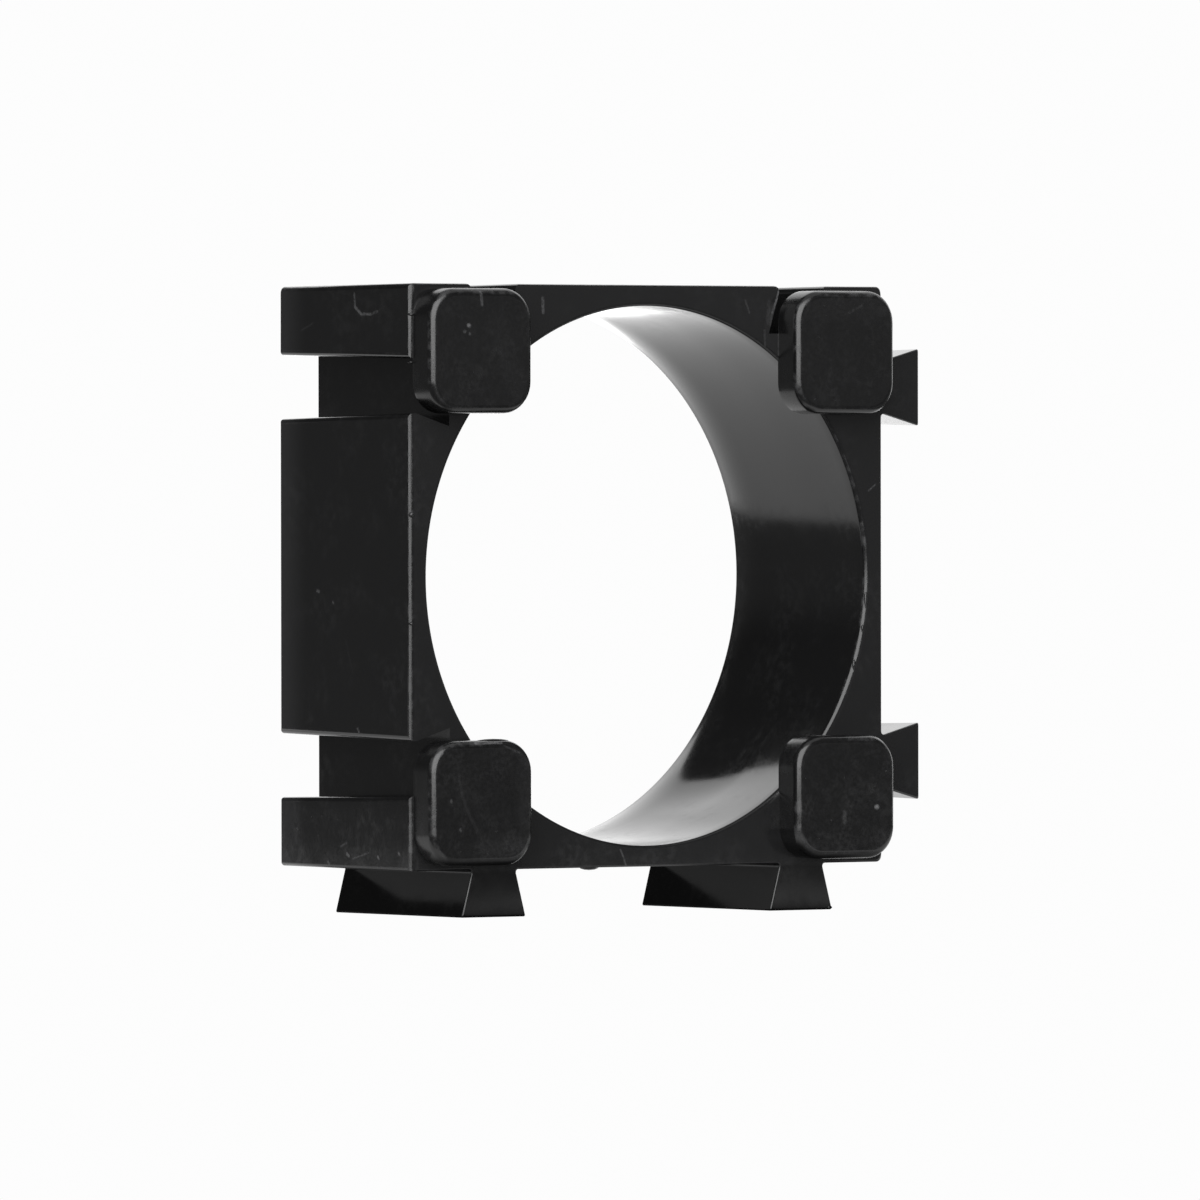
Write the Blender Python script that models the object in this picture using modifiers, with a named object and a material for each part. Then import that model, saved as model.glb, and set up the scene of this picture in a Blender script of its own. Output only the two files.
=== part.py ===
# Battery cell holder bracket: a square moulded frame with one round bore for a cylindrical cell.
#
# Four corner pads stand on the front face and reach over the bore, so the cell stops against their backs.
# Two dovetail tenons on the right side and two underneath slide into matching grooves in the left side and
# the top of the next bracket, from its back, until they meet the backs of its pads.
#
# The bracket stands on its two lower tenons. The bore runs along Y and the pads face -Y. The origin is the
# middle of the bounding box, at its lowest level. Lengths are in metres.

import math

import bmesh
import bpy
from mathutils import Matrix, Vector

MM = 0.001

# Cell and frame
CELL_DIAMETER = 18.5 * MM
CELL_CLEARANCE = 0.14 * MM  # all round the cell, at the front
BORE_TAPER = 0.1 * MM  # how much wider the bore is all round at the back, where the cell goes in
WALL = 0.735 * MM  # at the middle of each side, where the bore comes nearest
BODY_DEPTH = 7.97 * MM
RIM_CHAMFER = 0.12 * MM  # on the frame's outline, front and back
BORE_CHAMFER = 0.15 * MM  # on both ends of the bore
CORNER_RADIUS = 0.2 * MM  # along the frame's four corners

# Dovetail joints. A tenon narrows towards the back and a groove widens, so that the moulding leaves its mould and
# the next bracket slides on easily and ends up tight.
JOINT_INSET = 1.865 * MM  # from the floor of the groove round the corner to the middle of a dovetail
TENON_TIP = 2.72 * MM  # at the front
TENON_TAPER = 0.16 * MM  # how much narrower each side of a tenon is at the back
TENON_HEIGHT = 1.64 * MM
FLANK_ANGLE = math.radians(15.0)
ROOT_FILLET = 0.15 * MM
SLIDE_CLEARANCE = 0.02 * MM  # at each flank of a tenon in its groove, at the front
END_CLEARANCE = 0.03 * MM  # between a tenon's flat end and the groove's floor
LIP_CHAMFER = 0.15 * MM
ENTRY_FLARE = 0.17 * MM  # how much wider each side of a groove is at the back, where a tenon enters

# Corner pads
PAD_INSET = 0.17 * MM  # from the frame's outer faces
PAD_HEIGHT = 1.08 * MM
PAD_LIP_MARGIN = 0.03 * MM  # from the inner lip of a groove to the inner side of the pad
PAD_CORNER_RADIUS = 1.1 * MM
PAD_EDGE_RADIUS = 0.25 * MM
PAD_SEAT = 0.05 * MM  # how far a pad's back lies behind the front face

# Smoothness of the round shapes
BORE_SIDES = 96
CORNER_STEPS = 6
EDGE_STEPS = 3
FILLET_STEPS = 3
SHARP_ANGLE = math.radians(30.0)

OVERSHOOT = 0.5 * MM  # how far a cutter runs past the face that it cuts through
TOUCHING = 0.001 * MM

# Sizes that follow from those above
BORE_RADIUS = CELL_DIAMETER / 2 + CELL_CLEARANCE
BORE_BACK_RADIUS = BORE_RADIUS + BORE_TAPER
FLANK_SLOPE = math.tan(FLANK_ANGLE)
TENON_TIP_HALF = TENON_TIP / 2
TENON_ROOT_HALF = TENON_TIP_HALF - TENON_HEIGHT * FLANK_SLOPE
TENON_FOOT_HALF = TENON_ROOT_HALF + ROOT_FILLET / math.tan((math.pi / 2 - FLANK_ANGLE) / 2)
GROOVE_DEPTH = TENON_HEIGHT + END_CLEARANCE
GROOVE_NECK_HALF = TENON_ROOT_HALF + LIP_CHAMFER * FLANK_SLOPE + SLIDE_CLEARANCE
GROOVE_FLOOR_HALF = TENON_ROOT_HALF + GROOVE_DEPTH * FLANK_SLOPE + SLIDE_CLEARANCE
GROOVE_BRIM_HALF = GROOVE_NECK_HALF + LIP_CHAMFER + OVERSHOOT

# The inner edge of a groove's floor comes nearest the bore, at the back of the frame. How far in it lies from
# the two outer faces that meet at the corner, and how far from the bore's axis it stays
EDGE_DOWN = GROOVE_DEPTH
EDGE_ALONG = GROOVE_DEPTH + JOINT_INSET + GROOVE_FLOOR_HALF + ENTRY_FLARE
EDGE_SKEW = (EDGE_ALONG - EDGE_DOWN) / 2
EDGE_RADIUS = BORE_BACK_RADIUS + BORE_CHAMFER + LIP_CHAMFER

# Half the frame's width, as the bore asks with its wall and as the grooves ask beside the bore
HALF_FOR_BORE = BORE_RADIUS + WALL
HALF_FOR_GROOVES = (EDGE_ALONG + EDGE_DOWN) / 2 + math.sqrt(EDGE_RADIUS**2 / 2 - EDGE_SKEW**2)
FRAME_HALF = max(HALF_FOR_BORE, HALF_FOR_GROOVES)
JOINT_OFFSET = FRAME_HALF - GROOVE_DEPTH - JOINT_INSET
PAD_OUTER = FRAME_HALF - PAD_INSET
PAD_INNER = JOINT_OFFSET - GROOVE_NECK_HALF + PAD_LIP_MARGIN

# The middle of the bore in the front face, seen from the origin
BORE_CENTRE = Vector((-TENON_HEIGHT / 2, -(BODY_DEPTH - PAD_HEIGHT) / 2, FRAME_HALF + TENON_HEIGHT))

# Each side of the frame as the way along it and the way out of it, in X and Z, going round from underneath
UNDERSIDE = (Vector((1, 0)), Vector((0, -1)))
RIGHT_SIDE = (Vector((0, 1)), Vector((1, 0)))
TOP_SIDE = (Vector((-1, 0)), Vector((0, 1)))
LEFT_SIDE = (Vector((0, -1)), Vector((-1, 0)))
TENON_SIDES = (UNDERSIDE, RIGHT_SIDE)


def clear_scene():
    for thing in list(bpy.data.objects):
        bpy.data.objects.remove(thing, do_unlink=True)


def new_collection(name):
    collection = bpy.data.collections.new(name)
    bpy.context.scene.collection.children.link(collection)
    return collection


def black_plastic():
    material = bpy.data.materials.new("black_plastic")
    material.use_nodes = True
    shader = material.node_tree.nodes["Principled BSDF"]
    shader.inputs["Base Color"].default_value = (0.013, 0.013, 0.014, 1.0)
    shader.inputs["Roughness"].default_value = 0.34
    shader.inputs["Metallic"].default_value = 0.0
    return material


def arc(centre, radius, start, end, steps):
    """Points along an arc, from one angle to the other."""
    points = []
    for step in range(steps + 1):
        angle = start + (end - start) * step / steps
        points.append(Vector(centre) + radius * Vector((math.cos(angle), math.sin(angle))))
    return points


def on_side(side, middle, points):
    """Moves points of (along, out) to a side of the frame, round a middle at some way along that side."""
    along, out = side
    return [along * (middle + point[0]) + out * (FRAME_HALF + point[1]) for point in points]


def tenon_outline():
    """A tenon from root to root, with a fillet where each flank meets the frame."""
    foot = TENON_FOOT_HALF
    left = arc((-foot, ROOT_FILLET), ROOT_FILLET, -math.pi / 2, FLANK_ANGLE, FILLET_STEPS)
    right = arc((foot, ROOT_FILLET), ROOT_FILLET, math.pi - FLANK_ANGLE, 1.5 * math.pi, FILLET_STEPS)
    tip = [Vector((-TENON_TIP_HALF, TENON_HEIGHT)), Vector((TENON_TIP_HALF, TENON_HEIGHT))]
    return left + tip + right


def frame_outline():
    """The square with its tenons and its round corners, going round from the lower left."""
    start = CORNER_RADIUS - FRAME_HALF
    corner = arc((start, -CORNER_RADIUS), CORNER_RADIUS, math.pi, math.pi / 2, FILLET_STEPS)
    tenon = tenon_outline()
    points = []
    for side in (UNDERSIDE, RIGHT_SIDE, TOP_SIDE, LEFT_SIDE):
        points += on_side(side, 0, corner)
        if side in TENON_SIDES:
            points += on_side(side, -JOINT_OFFSET, tenon)
            points += on_side(side, JOINT_OFFSET, tenon)
    return points


def groove_outline():
    """A groove's section, with its chamfered lips run on past the face."""
    return [
        Vector((-GROOVE_BRIM_HALF, OVERSHOOT)),
        Vector((-GROOVE_NECK_HALF, -LIP_CHAMFER)),
        Vector((-GROOVE_FLOOR_HALF, -GROOVE_DEPTH)),
        Vector((GROOVE_FLOOR_HALF, -GROOVE_DEPTH)),
        Vector((GROOVE_NECK_HALF, -LIP_CHAMFER)),
        Vector((GROOVE_BRIM_HALF, OVERSHOOT)),
    ]


def pad_outline(x_sign, z_sign):
    """A square with round corners, over one corner of the frame."""
    near = PAD_INNER + PAD_CORNER_RADIUS
    far = PAD_OUTER - PAD_CORNER_RADIUS
    points = []
    for quarter, (x, z) in enumerate(((far, far), (near, far), (near, near), (far, near))):
        start = quarter * math.pi / 2
        points += arc((x, z), PAD_CORNER_RADIUS, start, start + math.pi / 2, CORNER_STEPS)
    return [Vector((x_sign * point.x, z_sign * point.y)) for point in points]


def edit_mesh(solid, change):
    """Makes one change to the object's mesh and turns its faces outwards."""
    shape = bmesh.new()
    shape.from_mesh(solid.data)
    change(shape)
    bmesh.ops.recalc_face_normals(shape, faces=shape.faces)
    shape.to_mesh(solid.data)
    shape.free()


def lies_at(element, depth):
    """Whether a face or an edge lies wholly at a depth behind the front face."""
    return all(abs(vert.co.y - BORE_CENTRE.y - depth) < TOUCHING for vert in element.verts)


def prism(name, outline, front, back, collection):
    """A solid of an outline round the bore's axis, between two depths measured from the front face."""
    curve = bpy.data.curves.new(name, "CURVE")
    curve.dimensions = "2D"
    curve.fill_mode = "BOTH"
    curve.extrude = (back - front) / 2
    spline = curve.splines.new("POLY")
    spline.points.add(len(outline) - 1)
    for point, place in zip(spline.points, outline):
        point.co = (place.x, place.y, 0.0, 1.0)
    spline.use_cyclic_u = True

    drawing = bpy.data.objects.new(name + "_outline", curve)
    drawing.location = BORE_CENTRE + Vector((0.0, (front + back) / 2, 0.0))
    drawing.rotation_euler = (math.pi / 2, 0.0, 0.0)
    collection.objects.link(drawing)
    bpy.context.view_layer.update()

    mesh = bpy.data.meshes.new_from_object(drawing.evaluated_get(bpy.context.evaluated_depsgraph_get()))
    mesh.transform(drawing.matrix_world)
    solid = bpy.data.objects.new(name, mesh)
    collection.objects.link(solid)
    bpy.data.objects.remove(drawing, do_unlink=True)

    def close(shape):
        bmesh.ops.remove_doubles(shape, verts=shape.verts, dist=TOUCHING)
        for level in (front, back):
            bmesh.ops.dissolve_faces(shape, faces=[face for face in shape.faces if lies_at(face, level)])

    edit_mesh(solid, close)
    return solid


def ease_rim(solid, depth, width, steps):
    """Rounds the edges round one end of a prism, or chamfers them where there is one step."""

    def bevel(shape):
        rim = [edge for edge in shape.edges if lies_at(edge, depth)]
        bmesh.ops.bevel(
            shape, geom=rim, offset=width, segments=steps, profile=0.5, affect="EDGES", material=-1
        )

    edit_mesh(solid, bevel)


def spread(solid, side, middle, amount, innermost, widest):
    """Moves a dovetail's flanks away from its middle, by nothing at the front up to an amount at the back.

    Only points no further in than the innermost and no further from the middle than the widest are moved."""
    along, out = (Vector((way.x, 0.0, way.y)) for way in side)

    def shift(shape):
        for vert in shape.verts:
            place = vert.co - BORE_CENTRE
            off_middle = place.dot(along) - middle
            if place.dot(out) > innermost - TOUCHING and abs(off_middle) < widest + TOUCHING:
                vert.co += along * math.copysign(amount, off_middle) * place.y / BODY_DEPTH

    edit_mesh(solid, shift)


def make_frame(collection, material):
    frame = prism("cell_holder_bracket", frame_outline(), 0.0, BODY_DEPTH, collection)
    for side in TENON_SIDES:
        for middle in (-JOINT_OFFSET, JOINT_OFFSET):
            spread(frame, side, middle, -TENON_TAPER, FRAME_HALF, max(TENON_TIP_HALF, TENON_FOOT_HALF))
    ease_rim(frame, 0.0, RIM_CHAMFER, 1)
    ease_rim(frame, BODY_DEPTH, RIM_CHAMFER, 1)
    frame.data.materials.append(material)
    return frame


def make_bore(collection):
    """A turned cutter that widens towards the back, flared at both ends for the bore's chamfers."""
    flare = BORE_CHAMFER + OVERSHOOT
    profile = [
        (0.0, OVERSHOOT),
        (BORE_RADIUS + flare, OVERSHOOT),
        (BORE_RADIUS, -BORE_CHAMFER),
        (BORE_BACK_RADIUS, BORE_CHAMFER - BODY_DEPTH),
        (BORE_BACK_RADIUS + flare, -BODY_DEPTH - OVERSHOOT),
        (0.0, -BODY_DEPTH - OVERSHOOT),
    ]
    mesh = bpy.data.meshes.new("cell_bore")
    steps = range(len(profile) - 1)
    mesh.from_pydata([(x, 0.0, z) for x, z in profile], [(step, step + 1) for step in steps], [])
    bore = bpy.data.objects.new("cell_bore", mesh)
    bore.matrix_world = Matrix.Translation(BORE_CENTRE) @ Matrix.Rotation(math.pi / 2, 4, "X")
    collection.objects.link(bore)
    turn = bore.modifiers.new("turn", "SCREW")
    turn.steps = BORE_SIDES
    turn.render_steps = BORE_SIDES
    turn.use_merge_vertices = True
    turn.merge_threshold = TOUCHING
    return bore


def make_groove(name, side, middle, collection):
    """A groove's cutter, drawn to its width at the front and spread towards the back."""
    outline = on_side(side, middle, groove_outline())
    groove = prism(name, outline, -OVERSHOOT, BODY_DEPTH + OVERSHOOT, collection)
    spread(groove, side, middle, ENTRY_FLARE, FRAME_HALF - GROOVE_DEPTH, max(GROOVE_FLOOR_HALF, GROOVE_BRIM_HALF))
    return groove


def make_pad(name, x_sign, z_sign, collection):
    pad = prism(name, pad_outline(x_sign, z_sign), -PAD_HEIGHT, PAD_SEAT, collection)
    ease_rim(pad, -PAD_HEIGHT, PAD_EDGE_RADIUS, EDGE_STEPS)
    return pad


def combine(solid, tool, operation):
    """Cuts or joins a tool with a Boolean that stays on the solid."""
    step = solid.modifiers.new(tool.name, "BOOLEAN")
    step.operation = operation
    step.solver = "EXACT"
    step.object = tool
    tool.hide_render = True
    tool.display_type = "WIRE"


def smooth(solid):
    solid.data.shade_smooth()
    solid.data.set_sharp_from_angle(angle=SHARP_ANGLE)


def build():
    clear_scene()
    parts = new_collection("battery_cell_holder_bracket")
    tools = new_collection("cutters")
    frame = make_frame(parts, black_plastic())
    combine(frame, make_bore(tools), "DIFFERENCE")
    for side_name, side in (("left", LEFT_SIDE), ("top", TOP_SIDE)):
        for number, middle in enumerate((-JOINT_OFFSET, JOINT_OFFSET), start=1):
            groove = make_groove(f"{side_name}_groove_{number}", side, middle, tools)
            combine(frame, groove, "DIFFERENCE")
    for x_name, x_sign in (("left", -1), ("right", 1)):
        for z_name, z_sign in (("lower", -1), ("upper", 1)):
            pad = make_pad(f"{z_name}_{x_name}_pad", x_sign, z_sign, tools)
            smooth(pad)
            combine(frame, pad, "UNION")
    smooth(frame)


build()
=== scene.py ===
import math

import bmesh
import bpy
from mathutils import Matrix, Vector


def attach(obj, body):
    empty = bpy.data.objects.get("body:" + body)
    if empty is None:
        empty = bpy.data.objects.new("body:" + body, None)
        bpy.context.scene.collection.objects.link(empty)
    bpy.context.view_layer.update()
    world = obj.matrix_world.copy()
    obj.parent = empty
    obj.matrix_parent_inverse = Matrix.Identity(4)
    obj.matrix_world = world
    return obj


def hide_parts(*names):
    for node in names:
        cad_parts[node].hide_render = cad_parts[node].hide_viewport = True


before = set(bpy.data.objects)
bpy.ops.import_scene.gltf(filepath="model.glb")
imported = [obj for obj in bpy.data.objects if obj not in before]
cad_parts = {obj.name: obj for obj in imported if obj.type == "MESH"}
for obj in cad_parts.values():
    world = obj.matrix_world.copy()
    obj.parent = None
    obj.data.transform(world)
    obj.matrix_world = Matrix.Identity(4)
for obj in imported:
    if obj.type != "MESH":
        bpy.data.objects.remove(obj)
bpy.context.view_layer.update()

mm = 0.001
# tests on points, in mm: the same place, and on or past a face
same = 1e-4
onFace = 0.01
slack = 0.1


def meshObject(name, bm):
    bmesh.ops.recalc_face_normals(bm, faces=bm.faces)
    mesh = bpy.data.meshes.new(name)
    bm.to_mesh(mesh)
    bm.free()
    piece = bpy.data.objects.new(name, mesh)
    bpy.context.scene.collection.objects.link(piece)
    return piece


def bevelEdges(bm, edges, width, segments):
    bmesh.ops.bevel(bm, geom=edges, offset=width, segments=segments, profile=0.5,
                    affect="EDGES", material=-1)


def roundCorners(bm, corners, width, segments):
    # rounds the corners of a flat outline
    bmesh.ops.bevel(bm, geom=corners, offset=width, segments=segments, profile=0.5,
                    affect="VERTICES", material=-1)


def edgesWhere(bm, test):
    return [edge for edge in bm.edges if all(test(vert.co) for vert in edge.verts)]


def combine(body, tool, operation):
    step = body.modifiers.new(operation.lower(), "BOOLEAN")
    step.operation = operation
    step.solver = "EXACT"
    step.object = tool


def applied(body):
    # the object's mesh with its modifiers applied
    bpy.context.view_layer.update()
    mesh = bpy.data.meshes.new_from_object(body.evaluated_get(bpy.context.evaluated_depsgraph_get()))
    bm = bmesh.new()
    bm.from_mesh(mesh)
    bpy.data.meshes.remove(mesh)
    return bm


def feed(tree, slot, value):
    if isinstance(value, bpy.types.NodeSocket):
        tree.links.new(value, slot)
    else:
        slot.default_value = value


def maths(tree, operation, *values):
    node = tree.nodes.new("ShaderNodeMath")
    node.operation = operation
    for slot, value in zip(node.inputs, values):
        feed(tree, slot, value)
    return node.outputs[0]


def vectors(tree, operation, *values, out="Vector"):
    node = tree.nodes.new("ShaderNodeVectorMath")
    node.operation = operation
    for slot, value in zip(node.inputs, values):
        feed(tree, slot, value)
    return node.outputs[out]


def ranged(tree, value, low, high, toLow=0.0, toHigh=1.0):
    # follows a value smoothly from one range to another
    node = tree.nodes.new("ShaderNodeMapRange")
    node.interpolation_type = "SMOOTHSTEP"
    slots = ("Value", "From Min", "From Max", "To Min", "To Max")
    for name, number in zip(slots, (value, low, high, toLow, toHigh)):
        feed(tree, node.inputs[name], number)
    return node.outputs["Result"]


def cloudy(tree, place, scale, detail):
    node = tree.nodes.new("ShaderNodeTexNoise")
    feed(tree, node.inputs["Vector"], place)
    node.inputs["Scale"].default_value = scale
    node.inputs["Detail"].default_value = detail
    return node.outputs["Fac"]


def split(tree, vector):
    # the X, Y and Z of a vector
    node = tree.nodes.new("ShaderNodeSeparateXYZ")
    feed(tree, node.inputs[0], vector)
    return node.outputs["X"], node.outputs["Y"], node.outputs["Z"]


# The bracket, in millimetres round the middle of the bore in its front face. Y runs to the back.
bracket = {
    "half": 10.125,           # half the frame's width at the front
    "draft": 0.035,           # how far the outer faces lean in towards the back
    "depth": 7.97,
    "cornerRound": 0.2,
    "cornerRoundLow": 0.12,   # the lower left corner
    "rimRoundLeft": (0.38, 0.15),    # the worn front edge of the left side, across and inward
    "rimRound": 0.07,         # the other edges, front and back
    "boreRadius": 9.39,       # at the front
    "boreWaist": 9.35,        # in the middle of its depth
    "boreMouth": 9.53,        # at the back
    "frontReach": 3.6,        # how far the front's own form runs in
    "mouthReach": 1.7,        # how far in from the back the mouth opens
    "sinkDepth": 0.3,         # the bore's wall has shrunk back behind the lower right pad
    "sinkMiddle": 3.6,        # how far in it is deepest
    "sinkCurve": 1.3,
    "sinkBack": 7.4,
    "sinkAngles": (-25.0, -34.0, -45.0, -66.0),    # degrees up from the right: starts, full, full, ends
    "boreRound": 0.2,         # where it is worn most, on the right in front
    "boreRoundLeast": 0.6,    # as a share of that
    "boreFlare": (0.15, 0.02),       # how the cutter opens out in front of the rim
    "wornMiddle": -22.0,      # degrees up from the right
    "wornReach": 62.0,
    "jointOffset": 6.59,      # from the bore's axis to the middle of a dovetail
    "tenonRoot": 0.9206,      # half widths at the front
    "tenonTip": 1.36,
    "tenonTaper": 0.16,
    "tenonHeight": 1.64,
    "rootFillet": 0.15,
    "tipRound": 0.06,
    "grooveLip": 0.86,        # half widths at the front, the lip before it is rounded
    "grooveFloor": 1.3881,
    "grooveDepth": 1.67,
    "lipRound": 0.3,
    "lipShoulder": (1.2, 0.012),     # the cutter's width and rise beside a lip
    "entryFlare": 0.17,
    "padOuter": 9.955,
    "padInner": 5.639,
    "padHeight": 1.08,
    "padCorner": 1.1,
    "padRound": 0.29,
    "padSeat": 0.05,
    "overshoot": 0.5,         # how far a cutter runs past what it cuts
    "flatAngle": 0.05,        # degrees: faces this near to flat are joined
    "sharpAngle": 38.0,       # degrees: edges turned further stay sharp
    # small lumps of flash left on the edges: place and half sizes
    "flash": (
        ((-10.0, 0.1, 9.05), (0.12, 0.14, 0.06)), ((-10.0, 0.1, 2.15), (0.11, 0.14, 0.11)),
        ((-10.01, 0.1, 7.4), (0.1, 0.12, 0.05)), ((-10.01, 0.1, -1.6), (0.1, 0.12, 0.07)),
        ((9.45, 0.04, -0.9), (0.07, 0.06, 0.3)), ((8.93, 0.04, -3.2), (0.07, 0.06, 0.22)),
        ((9.3, 0.04, -1.9), (0.05, 0.05, 0.14)), ((7.84, 0.06, -11.69), (0.12, 0.1, 0.06)),
        ((-2.35, 0.3, -10.1), (0.38, 0.3, 0.12)), ((-7.2, -0.78, -5.67), (0.72, 0.1, 0.09)),
    ),
}
boreCentre = Vector((-0.82, -3.445, 11.765))

# how many steps each round is made in
smooth = {
    "edge": 3,
    "fillet": 5,
    "worn": 12,
    "boreRim": 6,
    "boreWall": 24,
    "bore": 288,
    "lip": 6,
    "padCorner": 10,
    "padRound": 6,
    "flash": 2,               # subdivisions
}


def prism(outline, front, back, ease=None):
    # a flat outline in X and Z, its corners eased, and then carried along Y
    bm = bmesh.new()
    bm.faces.new([bm.verts.new((x, front, z)) for x, z in outline])
    if ease:
        ease(bm)
    grown = bmesh.ops.extrude_face_region(bm, geom=bm.faces[:])
    moved = [item for item in grown["geom"] if isinstance(item, bmesh.types.BMVert)]
    bmesh.ops.translate(bm, verts=moved, vec=(0, back - front, 0))
    bmesh.ops.recalc_face_normals(bm, faces=bm.faces)
    return bm


def frameBody():
    half, depth, middle = bracket["half"], bracket["depth"], bracket["jointOffset"]
    root, tip, end = bracket["tenonRoot"], bracket["tenonTip"], half + bracket["tenonHeight"]
    tenons = [(place + side, out) for place in (-middle, middle)
              for side, out in ((-root, half), (-tip, end), (tip, end), (root, half))]
    outline = [(-half, -half)] + [(along, -out) for along, out in tenons] + [(half, -half)]
    outline += [(out, along) for along, out in tenons] + [(half, half), (-half, half)]

    def easeRoots(bm):
        roots = [vert for vert in bm.verts
                 if abs(max(abs(vert.co.x), abs(vert.co.z)) - half) < onFace
                 and min(abs(vert.co.x), abs(vert.co.z)) < half - slack]
        roundCorners(bm, roots, bracket["rootFillet"], smooth["fillet"])

    bm = prism(outline, 0.0, depth, easeRoots)
    rims = [edge for edge in edgesWhere(bm, lambda co: min(abs(co.y), abs(co.y - depth)) < same)
            if abs(edge.verts[0].co.y - edge.verts[1].co.y) < same]
    bevelEdges(bm, rims, bracket["rimRound"], smooth["edge"])

    def cornerEdges(reach, out):
        # the edges that run from front to back at the outline's corners on one side
        points = [(x, z) for x, z in outline if abs(max(abs(x), abs(z)) - out) < onFace
                  and min(abs(x), abs(z)) > reach]
        near = 2 * bracket["cornerRound"]
        return [edge for edge in bm.edges for x, z in points
                if all(math.hypot(vert.co.x - x, vert.co.z - z) < near for vert in edge.verts)]

    def isLowLeft(edge):
        return max(edge.verts[0].co.x, edge.verts[0].co.z) < 0

    bevelEdges(bm, cornerEdges(0.0, end), bracket["tipRound"], smooth["edge"])
    lowLeft = [edge for edge in cornerEdges(half - slack, half) if isLowLeft(edge)]
    bevelEdges(bm, lowLeft, bracket["cornerRoundLow"], smooth["fillet"])
    others = [edge for edge in cornerEdges(half - slack, half) if not isLowLeft(edge)]
    bevelEdges(bm, others, bracket["cornerRound"], smooth["fillet"])
    for vert in bm.verts:
        share = vert.co.y / depth
        for along, out in ((0, 2), (2, 0)):
            offMiddle = abs(vert.co[along]) - middle
            if abs(vert.co[out]) > half - bracket["cornerRound"] and abs(offMiddle) < tip + slack:
                inwards = math.copysign(bracket["tenonTaper"], vert.co[along] * offMiddle)
                vert.co[along] -= inwards * share
            if half - 2 * bracket["cornerRound"] < abs(vert.co[out]) < half + slack:
                vert.co[out] -= math.copysign(bracket["draft"], vert.co[out]) * share
    return meshObject("frameBody", bm)


def leftRimCutter():
    # the left front edge is worn rounder than the others
    half, over = bracket["half"], bracket["overshoot"]
    across, inward = bracket["rimRoundLeft"]
    section = [(-half + across + slack, -over), (-half + across + slack, -onFace / 2)]
    for step in range(smooth["worn"] + 1):
        angle = math.pi / 2 * (1 - step / smooth["worn"])
        section.append((-half + across * (1 - math.cos(angle)), inward * (1 - math.sin(angle))))
    section += [(-half - onFace, inward + slack), (-half - over, inward + slack), (-half - over, -over)]
    bm = prism([(x, -y) for x, y in section], -half - over, half + over)
    bmesh.ops.rotate(bm, verts=bm.verts, cent=(0, 0, 0), matrix=Matrix.Rotation(math.pi / 2, 3, "X"))
    return meshObject("leftRimCutter", bm)


def smoothly(share):
    share = min(max(share, 0.0), 1.0)
    return share * share * (3 - 2 * share)


def boreProfile():
    # distance from the axis and depth, from the axis in front to the axis behind
    radius, waist, mouth = bracket["boreRadius"], bracket["boreWaist"], bracket["boreMouth"]
    size, least, depth = bracket["boreRound"], bracket["boreRoundLeast"], bracket["depth"]
    over, (wide, narrow) = bracket["overshoot"], bracket["boreFlare"]
    rim = [(size + wide, -over), (size + narrow, 0.0)]
    for step in range(1, smooth["boreRim"] + 1):
        angle = step / smooth["boreRim"] * math.pi / 2
        rim.append((size - size * math.sin(angle), size - size * math.cos(angle)))
    profile = [(0.0, -over)] + [(radius + x, y) for x, y in rim]
    mouthStart = depth - size * least - bracket["mouthReach"]
    for step in range(1, smooth["boreWall"]):
        # narrowest in the middle, and opening out gently at the back, where the cell goes in
        y = size + (depth - size * (1 + least)) * step / smooth["boreWall"]
        wider = (radius - waist) * (1 - smoothly(y / bracket["frontReach"]))
        wider += (mouth - waist) * max(0.0, (y - mouthStart) / bracket["mouthReach"]) ** 2
        profile.append((waist + wider, y))
    profile += [(mouth + x * least, depth - y * least) for x, y in rim[::-1]]
    return profile + [(0.0, depth + over * least)]


def boreCutter():
    radius, least = bracket["boreRadius"], bracket["boreRoundLeast"]
    bm = bmesh.new()
    verts = [bm.verts.new((x, y, 0)) for x, y in boreProfile()]
    edges = [bm.edges.new(pair) for pair in zip(verts, verts[1:])]
    bmesh.ops.spin(bm, geom=verts + edges, cent=(0, 0, 0), axis=(0, 1, 0), angle=math.tau,
                   steps=smooth["bore"], use_merge=True)
    bmesh.ops.remove_doubles(bm, verts=bm.verts, dist=same)
    first, full, fading, last = bracket["sinkAngles"]
    deepest, back = bracket["sinkMiddle"], bracket["sinkBack"]
    for vert in bm.verts:
        away = math.hypot(vert.co.x, vert.co.z)
        if away < radius / 2:
            continue
        angle = math.degrees(math.atan2(vert.co.z, vert.co.x))
        reach = away
        if vert.co.y < bracket["boreRound"] + onFace / 10 and away > radius - onFace / 10:
            # the rim in front is worn more on the right
            turned = min(abs(angle - bracket["wornMiddle"]) / bracket["wornReach"], 1.0)
            share = least + (1 - least) * max(0.0, math.cos(turned * math.pi / 2))
            reach = radius + (away - radius) * share
            vert.co.y *= share
        near = smoothly((first - angle) / (first - full)) * smoothly((angle - last) / (fading - last))
        inward = min(max(vert.co.y / deepest, 0.0), 1.0)
        sunk = 1 - (1 - inward) ** bracket["sinkCurve"]
        sunk -= smoothly((vert.co.y - deepest) / (back - deepest))
        reach += bracket["sinkDepth"] * near * sunk
        vert.co.x *= reach / away
        vert.co.z *= reach / away
    return meshObject("boreCutter", bm)


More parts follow.
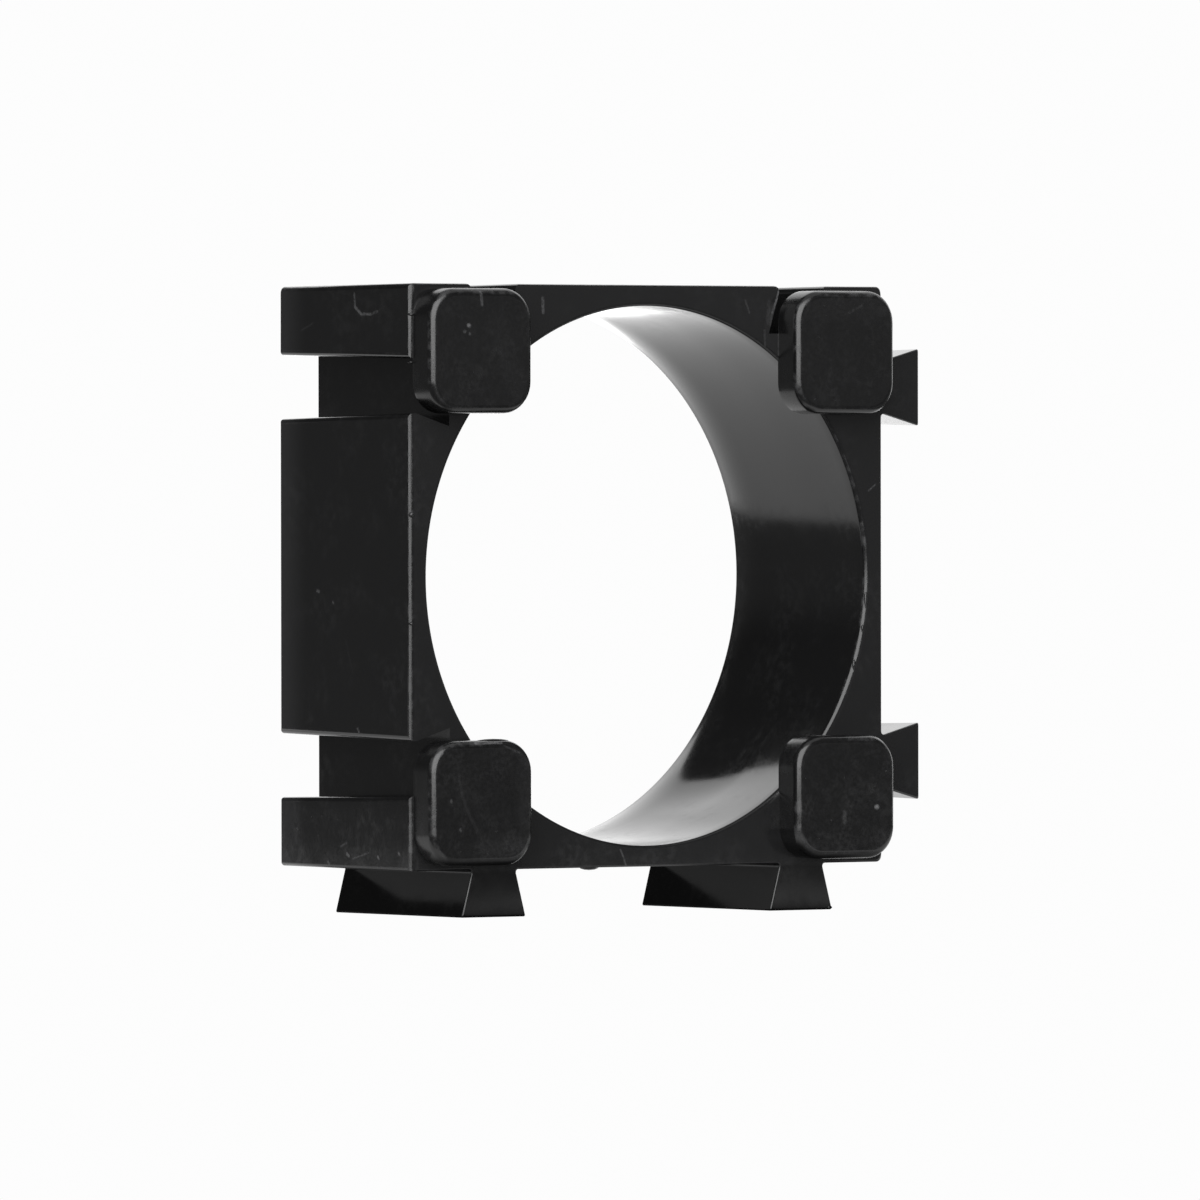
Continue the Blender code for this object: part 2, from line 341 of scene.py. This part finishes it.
def grooveCutter(middle, onTop):
    lip, floor, depth = bracket["grooveLip"], bracket["grooveFloor"], bracket["grooveDepth"]
    over, (shoulder, rise) = bracket["overshoot"], bracket["lipShoulder"]
    wide = lip + shoulder
    section = [(-wide, over), (-wide, rise), (-lip, 0), (-floor, -depth),
               (floor, -depth), (lip, 0), (wide, rise), (wide, over)]
    if onTop:
        outline = [(middle + along, bracket["half"] + out) for along, out in section]
    else:
        outline = [(-bracket["half"] - out, middle + along) for along, out in section]

    def easeLips(bm):
        bm.verts.ensure_lookup_table()
        lips = [bm.verts[index] for index, (along, out) in enumerate(section) if out == 0]
        roundCorners(bm, lips, bracket["lipRound"], smooth["lip"])

    bm = prism(outline, -over, bracket["depth"] + over, easeLips)
    along, out = (0, 2) if onTop else (2, 0)
    for vert in bm.verts:
        share = vert.co.y / bracket["depth"]
        vert.co[along] += math.copysign(bracket["entryFlare"], vert.co[along] - middle) * share
        if abs(vert.co[out]) > bracket["half"] - depth / 2:
            vert.co[out] -= math.copysign(bracket["draft"], vert.co[out]) * share
    return meshObject("grooveCutter", bm)


def padBlock(xSign, zSign):
    side = bracket["padOuter"] - bracket["padInner"]
    middle = (bracket["padOuter"] + bracket["padInner"]) / 2
    deep = bracket["padHeight"] + bracket["padSeat"]
    bm = bmesh.new()
    bmesh.ops.create_cube(bm, size=1.0)
    bmesh.ops.scale(bm, verts=bm.verts, vec=(side, deep, side))
    place = (xSign * middle, bracket["padSeat"] - deep / 2, zSign * middle)
    bmesh.ops.translate(bm, verts=bm.verts, vec=place)
    upright = [edge for edge in bm.edges if abs(edge.verts[0].co.y - edge.verts[1].co.y) > deep / 2]
    bevelEdges(bm, upright, bracket["padCorner"], smooth["padCorner"])
    front = edgesWhere(bm, lambda co: abs(co.y + bracket["padHeight"]) < same)
    bevelEdges(bm, front, bracket["padRound"], smooth["padRound"])
    return meshObject("padBlock", bm)


def lump(place, halfSizes):
    bm = bmesh.new()
    bmesh.ops.create_icosphere(bm, subdivisions=smooth["flash"], radius=1.0)
    bmesh.ops.scale(bm, verts=bm.verts, vec=halfSizes)
    bmesh.ops.translate(bm, verts=bm.verts, vec=place)
    return meshObject("lump", bm)


def makeBracket(material):
    body = frameBody()
    signs = (-1, 1)
    cutters = [leftRimCutter(), boreCutter()]
    for onTop in (False, True):
        cutters += [grooveCutter(sign * bracket["jointOffset"], onTop) for sign in signs]
    added = [padBlock(xSign, zSign) for xSign in signs for zSign in signs]
    added += [lump(place, halfSizes) for place, halfSizes in bracket["flash"]]
    for tool in cutters:
        combine(body, tool, "DIFFERENCE")
    for tool in added:
        combine(body, tool, "UNION")
    bm = applied(body)
    bmesh.ops.remove_doubles(bm, verts=bm.verts, dist=same)
    flat = math.radians(bracket["flatAngle"])
    bmesh.ops.dissolve_limit(bm, angle_limit=flat, verts=bm.verts, edges=bm.edges)
    bmesh.ops.translate(bm, verts=bm.verts, vec=boreCentre)
    bmesh.ops.scale(bm, verts=bm.verts, vec=(mm, mm, mm))
    piece = meshObject("bracketMoulding", bm)
    for thing in cutters + added + [body]:
        bpy.data.objects.remove(thing, do_unlink=True)
    piece.data.materials.append(material)
    piece.data.shade_smooth()
    piece.data.set_sharp_from_angle(angle=math.radians(bracket["sharpAngle"]))
    normals = piece.modifiers.new("normals", "WEIGHTED_NORMAL")
    normals.keep_sharp = True
    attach(piece, "root")
    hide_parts("cell_holder_bracket")
    return piece


plastic = {
    "colour": 0.0055,
    "blueShare": 1.03,        # a trace more blue than red and green
    "roughness": 0.12,
    "unevenRoughness": 0.03,  # added in clouds
    "ior": 1.5,
    "hazeColour": 0.0045,     # how much paler the hazy patches are
    "padHaze": 1.0,           # how much more of it the pads have
    "lowLeftHaze": 0.6,       # and the lower end of the left side, as a share of the pads
    "fineHaze": 0.5,          # shares of fine cloud and of specks in it
    "speckHaze": 2.5,
    "hazeRoughness": 0.08,
    "wallRoughness": 0.12,    # added on the side walls of the pads
    "roundRoughness": 0.05,   # added on every rounded edge
    "frontColour": 0.004,     # the front face is paler than the pads
    "footPaintedShade": 0.35,        # painted shade: the lower tenons are darkened, as if in the floor's contact shadow
    "dustColour": 0.012,      # towards the back of the left side
    "edgeColour": 0.018,      # the broken pale line along rounded edges, partly wear and partly a painted highlight
    "edgeRoughness": 0.12,
    # pale strokes: handling marks, and some painted highlights
    "markColour": 0.055,
    "markRoughness": 0.25,
    "markWobble": 0.05,       # mm
    "markFade": (0.2, 1.0),   # across a stroke, as shares of its width
    "markBroken": 0.35,       # what is left of a stroke where it breaks
    # how far in from its face a mark reaches, in mm; on the pads it takes in their rounded front edges,
    # where a painted glint lies
    "markDepths": {"leftFace": 0.06, "padFaces": 0.25, "frontFace": 0.01},
    "waveHeight": 0.004,      # mm
    "grainHeight": 0.0006,
}

# Cloudy patterns: scale, detail, and the range over which the mask fades in
clouds = {
    "patches": (0.55, 3, 0.44, 0.66),
    "mottle": (3.5, 4, 0.38, 0.7),
    "fine": (8.0, 3, 0.3, 0.75),
    "blotches": (1.5, 3, 0.42, 0.72),
    "specks": (4.6, 2, 0.70, 0.76),
    "worn": (2.6, 4, 0.42, 0.66),
    "broken": (9.0, 2, 0.3, 0.6),
    "uneven": (1.3, 2, 0.3, 0.7),
    "wobble": (5.0, 2),
    "wave": (0.4, 1),
    "grain": (11.0, 3),
}

# Where each mask starts and is full: shares of a face's turn, or mm round the bore's middle in front
zones = {
    "roundStart": (0.08, 0.3),
    "roundEnd": (0.995, 0.9),
    "wallTurn": (0.2, 0.05),
    "wallDepth": (0.0, -0.08),
    "padFace": (0.1, 0.0),
    "lowLeftSide": (-10.0, -10.1),
    "lowLeftEnd": (-7.9, -8.3),
    # edges facing down get none of the pale line, as they would catch no highlight
    "wearAndHighlightTurn": (-0.5, -0.2),
    "rim": (9.8, 9.7),
    "rimBelow": (-4.0, -5.0),
    "front": (0.03, 0.01),
    "dustDepth": (6.2, 8.0),
    "dustSide": (-9.9, -10.0),
    "foot": (-10.1, -10.25),
}

# Handling marks on each face as pale strokes, with a few painted highlights among them (a glint on a pad's
# top edge, the lit lip of a groove), in mm along the face: start, end, width and strength
marksAndGlints = {
    "leftFace": [
        ((3.38, 9.82), (3.33, 9.36), 0.08, 0.7), ((3.33, 9.36), (2.96, 9.11), 0.09, 1.1),
        ((2.96, 9.11), (2.38, 9.10), 0.08, 0.9), ((2.38, 9.10), (1.95, 9.20), 0.07, 0.5),
        ((5.70, -0.47), (5.58, -0.50), 0.09, 0.7), ((4.72, -0.85), (4.69, -0.91), 0.06, 0.8),
        ((3.21, -5.23), (3.15, -5.33), 0.08, 0.7), ((2.00, -9.63), (1.94, -9.70), 0.07, 1.0),
        ((0.73, -9.47), (0.67, -9.54), 0.07, 0.9), ((3.89, -9.57), (3.77, -9.64), 0.09, 0.8),
        ((5.05, -9.87), (4.99, -9.94), 0.07, 0.9), ((4.26, -9.33), (3.89, -9.19), 0.06, 0.35),
        ((3.53, -9.73), (2.67, -9.54), 0.05, 0.35), ((6.66, 8.57), (5.92, 8.84), 0.04, 0.2),
        ((3.93, -2.19), (3.51, -3.30), 0.035, 0.15),
    ],
    "padFaces": [
        ((-8.36, 8.69), (-8.35, 8.68), 0.12, 1.6), ((-8.53, 8.49), (-8.52, 8.49), 0.09, 0.8),
        ((-8.32, 8.40), (-8.32, 8.39), 0.08, 0.7), ((-7.84, 9.84), (-7.80, 9.41), 0.09, 0.8),
        ((-8.82, -6.46), (-8.78, -6.98), 0.08, 0.08), ((-8.78, -6.98), (-8.65, -7.50), 0.09, 0.12),
        ((-8.65, -7.50), (-8.49, -7.95), 0.09, 0.13), ((-8.49, -7.95), (-8.24, -8.36), 0.11, 0.12),
        ((-8.24, -8.36), (-7.94, -8.88), 0.12, 0.08), ((-9.12, -7.66), (-9.10, -7.70), 0.08, 0.7),
        ((-8.74, -8.66), (-8.72, -8.70), 0.08, 0.6), ((7.70, -8.30), (7.72, -8.65), 0.13, 0.3),
        # the stroke from (-8.05, -5.70) to (-6.95, -5.68) is a painted glint on the top rounded edge of
        # the lower left pad
        ((9.10, -8.13), (9.11, -8.15), 0.13, 1.8), ((-8.05, -5.70), (-6.95, -5.68), 0.07, 1.2),
        ((-7.6, -9.3), (-5.95, -9.2), 0.6, 0.10), ((-6.0, -6.3), (-5.95, -8.5), 0.45, 0.07),
        ((6.6, 9.3), (9.2, 9.5), 0.7, 0.05), ((-7.1, 8.6), (-6.3, 6.6), 0.7, 0.05),
        ((7.94, 9.22), (8.47, 9.46), 0.08, 0.25), ((-6.88, -5.80), (-6.25, -6.04), 0.06, 0.3),
    ],
    "frontFace": [
        # the first two strokes are a painted highlight along the left lip of the upper right groove
        ((5.70, 10.03), (5.55, 9.62), 0.07, 1.5), ((5.55, 9.62), (5.38, 9.22), 0.07, 1.0),
        ((5.38, 9.22), (5.30, 8.80), 0.08, 0.35), ((5.24, 9.60), (5.20, 8.85), 0.12, 0.2),
        ((5.66, 8.70), (5.66, 7.75), 0.07, 0.3), ((-9.98, 9.95), (-9.96, 9.45), 0.07, 0.7),
        ((-9.96, 9.45), (-9.97, 8.80), 0.07, 0.35), ((-8.62, 5.44), (-8.58, 5.40), 0.08, 0.7),
        ((-4.47, 9.66), (-4.45, 9.18), 0.09, 0.9), ((-1.19, -9.50), (-1.07, -9.74), 0.06, 0.5),
        ((-1.07, -9.74), (-0.96, -10.06), 0.06, 0.5), ((9.57, 2.97), (9.87, 3.18), 0.05, 0.7),
        ((4.22, 9.63), (4.39, 9.21), 0.06, 0.35), ((5.04, 8.58), (5.08, 7.81), 0.07, 0.3),
    ],
}


def cloudMask(tree, place, name, toLow=0.0, toHigh=1.0):
    scale, detail, low, high = clouds[name]
    return ranged(tree, cloudy(tree, place, scale, detail), low, high, toLow, toHigh)


def zoneMask(tree, value, name, outside=0.0, inside=1.0):
    start, full = zones[name]
    if start < full:
        return ranged(tree, value, start, full, outside, inside)
    return ranged(tree, value, full, start, inside, outside)


def strokeGroup():
    # a soft line between two points, as a mask
    tree = bpy.data.node_groups.new("markAndGlintStroke", "ShaderNodeTree")
    for name, kind in (("Place", "Vector"), ("Start", "Vector"), ("End", "Vector"),
                       ("Width", "Float"), ("Strength", "Float")):
        tree.interface.new_socket(name=name, in_out="INPUT", socket_type="NodeSocket" + kind)
    tree.interface.new_socket(name="Mask", in_out="OUTPUT", socket_type="NodeSocketFloat")
    given = tree.nodes.new("NodeGroupInput").outputs
    fromStart = vectors(tree, "SUBTRACT", given["Place"], given["Start"])
    along = vectors(tree, "SUBTRACT", given["End"], given["Start"])
    share = maths(tree, "DIVIDE", vectors(tree, "DOT_PRODUCT", fromStart, along, out="Value"),
                  vectors(tree, "DOT_PRODUCT", along, along, out="Value"))
    share = maths(tree, "MINIMUM", maths(tree, "MAXIMUM", share, 0.0), 1.0)
    nearest = tree.nodes.new("ShaderNodeVectorMath")
    nearest.operation = "SCALE"
    feed(tree, nearest.inputs[0], along)
    feed(tree, nearest.inputs["Scale"], share)
    gap = vectors(tree, "DISTANCE", fromStart, nearest.outputs["Vector"], out="Value")
    mask = ranged(tree, maths(tree, "DIVIDE", gap, given["Width"]), *plastic["markFade"], 1.0, 0.0)
    mask = maths(tree, "MULTIPLY", mask, given["Strength"])
    feed(tree, tree.nodes.new("NodeGroupOutput").inputs["Mask"], mask)
    return tree


def marksAndPaintedGlints(tree, place):
    # all the strokes of every face, marks and painted highlights alike, each kept to its own face
    stroke = strokeGroup()
    x, y = split(tree, place)[:2]
    shaken = (plastic["markWobble"],) * 3
    wobble = vectors(tree, "MULTIPLY_ADD", cloudy(tree, place, *clouds["wobble"]), shaken, place)
    depths = plastic["markDepths"]
    leftEnd = -bracket["half"] + depths["leftFace"]
    padEnd = -bracket["padHeight"] + depths["padFaces"]
    fromFront = maths(tree, "ABSOLUTE", y)
    faces = {
        "leftFace": ((0, 1, 1), maths(tree, "LESS_THAN", x, leftEnd)),
        "padFaces": ((1, 0, 1), maths(tree, "LESS_THAN", y, padEnd)),
        "frontFace": ((1, 0, 1), maths(tree, "LESS_THAN", fromFront, depths["frontFace"])),
    }
    total = 0.0
    for face, (flat, isThere) in faces.items():
        spot = vectors(tree, "MULTIPLY", wobble, flat)
        worst = 0.0
        for start, end, width, strength in marksAndGlints[face]:
            node = tree.nodes.new("ShaderNodeGroup")
            node.node_tree = stroke
            feed(tree, node.inputs["Place"], spot)
            for name, (level, up) in (("Start", start), ("End", end)):
                onSide = face == "leftFace"
                node.inputs[name].default_value = (0, level, up) if onSide else (level, 0, up)
            node.inputs["Width"].default_value = width
            node.inputs["Strength"].default_value = strength
            worst = maths(tree, "MAXIMUM", worst, node.outputs["Mask"])
        total = maths(tree, "ADD", total, maths(tree, "MULTIPLY", worst, isThere))
    return maths(tree, "MULTIPLY", total, cloudMask(tree, place, "broken", plastic["markBroken"], 1.0))


def surfaceMasks(tree, place):
    # how much each spot has of every kind of wear, from where it is and which way it faces
    def both(first, second):
        return maths(tree, "MULTIPLY", first, second)

    x, y, z = split(tree, place)
    turn = split(tree, tree.nodes.new("ShaderNodeNewGeometry").outputs["Normal"])
    facing = maths(tree, "ABSOLUTE", turn[1])
    rounded = both(zoneMask(tree, facing, "roundStart"), zoneMask(tree, facing, "roundEnd"))

    # haze everywhere, and more of it with a few specks on the pads and low on the left side
    fine = cloudMask(tree, place, "fine")
    padFront = maths(tree, "ADD", y, bracket["padHeight"])
    lowLeft = both(zoneMask(tree, x, "lowLeftSide"), zoneMask(tree, z, "lowLeftEnd"))
    lowLeft = both(lowLeft, plastic["lowLeftHaze"])
    handledMost = maths(tree, "MAXIMUM", zoneMask(tree, padFront, "padFace"), lowLeft)
    touched = both(cloudMask(tree, place, "blotches"), fine)
    touched = maths(tree, "MULTIPLY_ADD", fine, plastic["fineHaze"], touched)
    specks = cloudMask(tree, place, "specks")
    touched = maths(tree, "MULTIPLY_ADD", specks, plastic["speckHaze"], touched)
    haze = both(cloudMask(tree, place, "patches"), cloudMask(tree, place, "mottle"))
    haze = maths(tree, "MULTIPLY_ADD", both(touched, handledMost), plastic["padHaze"], haze)

    # rounded edges are paled where they don't face down, except near the low part of the bore's rim:
    # partly wear, partly a painted highlight
    fromAxis = vectors(tree, "LENGTH", vectors(tree, "MULTIPLY", place, (1, 0, 1)), out="Value")
    onRim = both(zoneMask(tree, fromAxis, "rim"), zoneMask(tree, z, "rimBelow"))
    worn = both(both(rounded, cloudMask(tree, place, "worn")), zoneMask(tree, turn[2], "wearAndHighlightTurn"))
    worn = both(worn, maths(tree, "SUBTRACT", 1.0, onRim))
    return {
        "haze": haze,
        "edge": worn,
        "mark": marksAndPaintedGlints(tree, place),
        "dust": both(zoneMask(tree, y, "dustDepth"), zoneMask(tree, x, "dustSide")),
        "front": zoneMask(tree, maths(tree, "ABSOLUTE", y), "front"),
        "wall": both(zoneMask(tree, y, "wallDepth"), zoneMask(tree, facing, "wallTurn")),
        "round": rounded,
        # painted shade: the colour of the lower tenons is darkened, as in the floor's contact shadow
        "shade": zoneMask(tree, z, "foot", 1.0, plastic["footPaintedShade"]),
    }


def blackPlastic():
    material = bpy.data.materials.new("blackPlastic")
    material.use_nodes = True
    tree = material.node_tree
    shader = tree.nodes["Principled BSDF"]
    shader.inputs["IOR"].default_value = plastic["ior"]
    centre = tree.nodes.new("ShaderNodeMapping")
    feed(tree, centre.inputs["Vector"], tree.nodes.new("ShaderNodeTexCoord").outputs["Object"])
    centre.inputs["Location"].default_value = -boreCentre
    centre.inputs["Scale"].default_value = (1 / mm, 1 / mm, 1 / mm)
    place = centre.outputs["Vector"]
    masks = surfaceMasks(tree, place)

    shade = plastic["colour"]
    for name in ("haze", "edge", "mark", "dust", "front"):
        shade = maths(tree, "MULTIPLY_ADD", masks[name], plastic[name + "Colour"], shade)
    # painted shade on the lower tenons
    shade = maths(tree, "MULTIPLY", shade, masks["shade"])
    colour = tree.nodes.new("ShaderNodeCombineColor")
    for name in ("Red", "Green"):
        feed(tree, colour.inputs[name], shade)
    feed(tree, colour.inputs["Blue"], maths(tree, "MULTIPLY", shade, plastic["blueShare"]))
    feed(tree, shader.inputs["Base Color"], colour.outputs[0])

    even = plastic["roughness"]
    dullness = cloudMask(tree, place, "uneven", even, even + plastic["unevenRoughness"])
    for name in ("haze", "edge", "mark", "wall", "round"):
        dullness = maths(tree, "MULTIPLY_ADD", masks[name], plastic[name + "Roughness"], dullness)
    feed(tree, shader.inputs["Roughness"], dullness)

    height = maths(tree, "MULTIPLY", cloudy(tree, place, *clouds["wave"]), plastic["waveHeight"])
    grain = cloudy(tree, place, *clouds["grain"])
    height = maths(tree, "MULTIPLY_ADD", grain, plastic["grainHeight"], height)
    relief = tree.nodes.new("ShaderNodeBump")
    feed(tree, relief.inputs["Height"], height)
    relief.inputs["Strength"].default_value = 1.0
    relief.inputs["Distance"].default_value = mm
    feed(tree, shader.inputs["Normal"], relief.outputs["Normal"])
    return material


photo = {
    "azimuth": 35.540,        # degrees round to the object's left
    "elevation": 0.492,
    "roll": -0.080,
    "distance": 509.59,
    "focal": 14528.7,         # in pixels of the photograph
    "width": 1200,
    "sensor": 36.0,
    "clip": (0.01, 20.0),     # metres
    "target": (0.780, 4.0, -0.873),
}


def makeCamera():
    turn, tilt, roll = (math.radians(photo[key]) for key in ("azimuth", "elevation", "roll"))
    back = Vector((-math.sin(turn) * math.cos(tilt), -math.cos(turn) * math.cos(tilt), math.sin(tilt)))
    right = Vector((0, 0, 1)).cross(back).normalized()
    up = back.cross(right)
    across = right * math.cos(roll) + up * math.sin(roll)
    upright = up * math.cos(roll) - right * math.sin(roll)
    place = (boreCentre + Vector(photo["target"]) + back * photo["distance"]) * mm
    data = bpy.data.cameras.new("camera")
    data.sensor_width = photo["sensor"]
    data.lens = photo["focal"] * photo["sensor"] / photo["width"]
    data.clip_start, data.clip_end = photo["clip"]
    camera = bpy.data.objects.new("camera", data)
    camera.matrix_world = Matrix.Translation(place) @ Matrix((across, upright, back)).transposed().to_4x4()
    bpy.context.scene.collection.objects.link(camera)
    bpy.context.scene.camera = camera


studio = {
    "white": 0.98,            # what the camera sees of the floor and behind it
    "dimBehind": 0.12,        # the room, as the plastic mirrors it
    "dimFront": 0.26,
    "dimHigh": 0.3,           # a share, above eye level
    "eyeLevel": (0.04, 0.28),    # where that starts and is full, as shares of straight up
    "paperLeft": 45.0,        # mm from the line of sight to the left edge of the white paper
    "paperRight": 30.0,
    "paperFront": 13.0,
    "paperSoft": 2.0,
    "paperGlow": 0.95,
    "paperFarGlow": 1.5,
    "paperFar": (25.0, 60.0),    # mm behind the bracket
    "dimFloor": 0.13,
    "floorRadius": 3.0,       # metres
    "floorSides": 96,
    # round each lower tenon's middle, in mm: place across and inward, half sizes,
    # where it starts and ends, and how much light is left
    "shadows": ((0.0, 3.98, 1.36, 3.98, 0.8, 3.6, 0.07), (2.0, -3.0, 3.4, 4.0, 0.3, 1.4, 0.4)),
    # in mm round the bracket: along the line of sight, to its right and up, then width, height and glow
    "backdrop": ((72, 28, 75), (130, 150), 1.12),
    "overhead": ((-20, 60, 260), (260, 220), 0.48),
    "frontLeft": ((-250, -20, 140), (330, 370), 3.6),
}
sight = Vector((math.sin(math.radians(photo["azimuth"])), math.cos(math.radians(photo["azimuth"])), 0))
rightHand = Vector((sight.y, -sight.x, 0))


def floorShadow(tree, place):
    # little light reaches the paper under the lower pads and close round the tenons
    shadow = 1.0
    for middle in (-bracket["jointOffset"], bracket["jointOffset"]):
        for across, inward, halfWide, halfDeep, start, end, left in studio["shadows"]:
            centre = (boreCentre.x + middle + across, boreCentre.y + inward, 0)
            spot = vectors(tree, "ABSOLUTE", vectors(tree, "SUBTRACT", place, centre))
            beyond = vectors(tree, "SUBTRACT", spot, (halfWide, halfDeep, 1))
            beyond = vectors(tree, "MAXIMUM", beyond, (0, 0, 0))
            gap = vectors(tree, "LENGTH", beyond, out="Value")
            shadow = maths(tree, "MULTIPLY", shadow, ranged(tree, gap, start, end, left, 1.0))
    return shadow


def makeFloor():
    bm = bmesh.new()
    bmesh.ops.create_circle(bm, cap_ends=True, radius=studio["floorRadius"], segments=studio["floorSides"])
    floor = meshObject("floor", bm)
    material = bpy.data.materials.new("paleFloor")
    material.use_nodes = True
    tree = material.node_tree
    tree.nodes.clear()
    place = tree.nodes.new("ShaderNodeTexCoord").outputs["Object"]
    place = vectors(tree, "MULTIPLY", place, (1 / mm, 1 / mm, 1))

    def along(way):
        return vectors(tree, "DOT_PRODUCT", place, way, out="Value")

    paper = 1.0
    for way, limit in ((-rightHand, "paperLeft"), (-sight, "paperFront"), (rightHand, "paperRight")):
        edge, soft = studio[limit], studio["paperSoft"]
        inside = ranged(tree, along(way), edge - soft, edge + soft, 1.0, 0.0)
        paper = maths(tree, "MULTIPLY", paper, inside)
    bright = ranged(tree, along(sight), *studio["paperFar"], studio["paperGlow"], studio["paperFarGlow"])
    glow = maths(tree, "MAXIMUM", maths(tree, "MULTIPLY", paper, bright), studio["dimFloor"])
    glow = maths(tree, "MULTIPLY", glow, floorShadow(tree, place))
    rays = tree.nodes.new("ShaderNodeLightPath")
    strength = tree.nodes.new("ShaderNodeMix")
    feed(tree, strength.inputs["Factor"], rays.outputs["Is Camera Ray"])
    feed(tree, strength.inputs["A"], glow)
    strength.inputs["B"].default_value = studio["white"]
    shine = tree.nodes.new("ShaderNodeEmission")
    feed(tree, shine.inputs["Strength"], strength.outputs["Result"])
    feed(tree, tree.nodes.new("ShaderNodeOutputMaterial").inputs["Surface"], shine.outputs[0])
    floor.data.materials.append(material)


def makeWorld():
    world = bpy.data.worlds.new("studio")
    bpy.context.scene.world = world
    world.use_nodes = True
    tree = world.node_tree
    tree.nodes.clear()
    back = tree.nodes.new("ShaderNodeBackground")
    back.inputs["Strength"].default_value = studio["white"]
    dim = tree.nodes.new("ShaderNodeBackground")
    for node in (back, dim):
        node.inputs["Color"].default_value = (1, 1, 1, 1)
    place = tree.nodes.new("ShaderNodeTexCoord").outputs["Generated"]
    facing = vectors(tree, "DOT_PRODUCT", place, (sight.x, -sight.y, 0), out="Value")
    height = split(tree, place)[2]
    high = ranged(tree, height, *studio["eyeLevel"], 1.0, studio["dimHigh"])
    low = ranged(tree, facing, 0.0, 1.0, studio["dimBehind"], studio["dimFront"])
    feed(tree, dim.inputs["Strength"], maths(tree, "MULTIPLY", high, low))
    rays = tree.nodes.new("ShaderNodeLightPath")
    mix = tree.nodes.new("ShaderNodeMixShader")
    for slot, value in zip(mix.inputs, (rays.outputs["Is Camera Ray"], dim.outputs[0], back.outputs[0])):
        feed(tree, slot, value)
    feed(tree, tree.nodes.new("ShaderNodeOutputWorld").inputs["Surface"], mix.outputs[0])


def makeLight(name):
    (far, right, up), (width, height), glow = studio[name]
    data = bpy.data.lights.new(name, "AREA")
    data.shape = "RECTANGLE"
    data.size = width * mm
    data.size_y = height * mm
    data.energy = glow * 4 * data.size * data.size_y    # the same glow whatever its size
    place = (sight * far + rightHand * right + Vector((0, 0, up))) * mm
    light = bpy.data.objects.new(name, data)
    aim = Vector((0, 0, boreCentre.z * mm))
    if name == "backdrop":
        aim = place - sight
    elif name == "overhead":
        aim = place - Vector((0, 0, 1))
    turned = (place - aim).to_track_quat("Z", "Y").to_matrix().to_4x4()
    light.matrix_world = Matrix.Translation(place) @ turned
    light.visible_camera = False
    bpy.context.scene.collection.objects.link(light)


scene = bpy.context.scene
scene.view_settings.view_transform = "Standard"
makeCamera()
print("camera set")
moulding = makeBracket(blackPlastic())
print("bracket made:", len(moulding.data.polygons), "faces")
makeFloor()
makeWorld()
for name in ("backdrop", "overhead", "frontLeft"):
    makeLight(name)
print("stage made")
